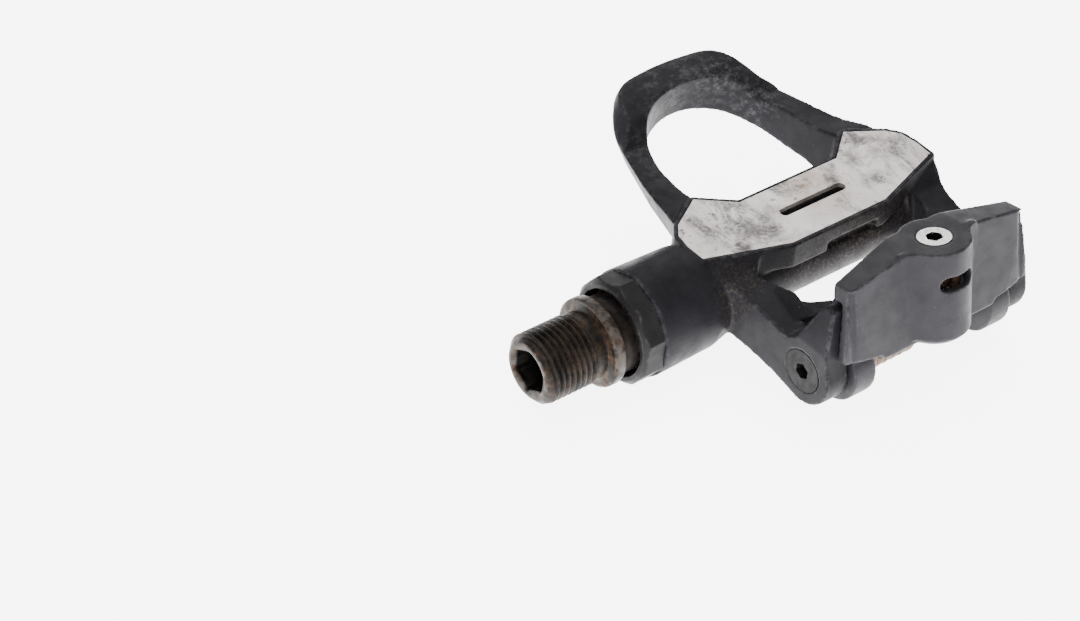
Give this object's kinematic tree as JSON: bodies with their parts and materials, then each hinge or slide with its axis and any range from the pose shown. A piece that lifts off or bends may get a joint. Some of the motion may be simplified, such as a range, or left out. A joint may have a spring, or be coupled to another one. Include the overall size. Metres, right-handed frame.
{
  "type": "clipless road pedal",
  "caption": "Single-sided clipless bicycle pedal with a nose loop, steel platform plate, sprung rear jaw, tension screw and threaded steel spindle.",
  "frame": {"origin": "centre of the spindle at the shoulder that bears on the crank arm", "axes": "+X along the spindle towards the outboard end, +Y towards the pedal's nose, +Z towards the rider's sole"},
  "size_m": [0.0997, 0.09, 0.0354],
  "materials": {
    "body_nylon": "glass-filled nylon, scuffed and dusty",
    "jaw_nylon": "glass-filled nylon, smooth with scuffs",
    "collar_nylon": "moulded, worn edges",
    "washer_nylon": "smooth",
    "seal_rubber": "smooth lip",
    "plate_steel": "brushed sheet with stains",
    "spindle_steel": "dark oxide with rust on the thread",
    "black_steel": "black oxide",
    "bearing_steel": "ground",
    "spacer_aluminium": "drawn tube",
    "cage_brass": "pressed",
    "spring_steel": "drawn wire, brown patina",
    "screw_zinc": "zinc plated, slightly worn",
    "nut_brass": "machined"
  },
  "bodies": {
    "spindle": {"spindle": "spindle_steel", "ball_bearing_inner_ring": "bearing_steel", "end_washer": "bearing_steel", "spindle_end_nut": "bearing_steel"},
    "pedal_body": {"body_frame": "body_nylon", "platform_plate": "plate_steel", "lock_collar": "collar_nylon", "lip_seal": "seal_rubber", "needle_bearing_shell": "bearing_steel", "spacer_tube": "spacer_aluminium", "ball_bearing_outer_ring": "bearing_steel", "bearing_shields": "bearing_steel", "hinge_pin": "black_steel", "hinge_pin_nut": "black_steel", "jaw_washers": "washer_nylon", "torsion_spring_inboard": "spring_steel", "torsion_spring_outboard": "spring_steel"},
    "needle_set": {"needle_rollers": "bearing_steel"},
    "ball_set": {"bearing_balls": "bearing_steel", "ball_cage": "cage_brass"},
    "jaw": {"rear_jaw": "jaw_nylon"},
    "tension_screw": {"tension_screw": "screw_zinc", "screw_clip": "spring_steel"},
    "tension_nut": {"tension_nut": "nut_brass"}
  },
  "joints": [
    {"name": "body_spin", "type": "hinge", "parent": "spindle", "child": "pedal_body", "pos_m": [0, 0, 0], "axis": [1, 0, 0], "continuous": true},
    {"name": "needle_orbit", "type": "hinge", "parent": "spindle", "child": "needle_set", "pos_m": [0.022, 0, 0], "axis": [1, 0, 0], "continuous": true},
    {"name": "ball_orbit", "type": "hinge", "parent": "spindle", "child": "ball_set", "pos_m": [0.072, 0, 0], "axis": [1, 0, 0], "continuous": true},
    {"name": "jaw_open", "type": "hinge", "parent": "pedal_body", "child": "jaw", "pos_m": [0.055, -0.0282, 0], "axis": [1, 0, 0], "range_deg": [0, 22], "stiffness_Nm_per_rad": 4, "deforming": ["torsion_spring_inboard", "torsion_spring_outboard"]},
    {"name": "tension_turn", "type": "hinge", "parent": "jaw", "child": "tension_screw", "pos_m": [0.055, -0.03583, 0.00162], "axis": [0, 0.2079, 0.9781], "range_deg": [-540, 2160]},
    {"name": "nut_slide", "type": "slide", "parent": "jaw", "child": "tension_nut", "axis": [0, 0.2079, 0.9781], "range_m": [-0.0048, 0.0012]}
  ],
  "couplings": [
    {"joint": "needle_orbit", "follows": "body_spin", "ratio": 0.54887},
    {"joint": "ball_orbit", "follows": "body_spin", "ratio": 0.62421},
    {"joint": "tension_turn", "follows": "nut_slide", "rad_per_m": -7854.2}
  ]
}
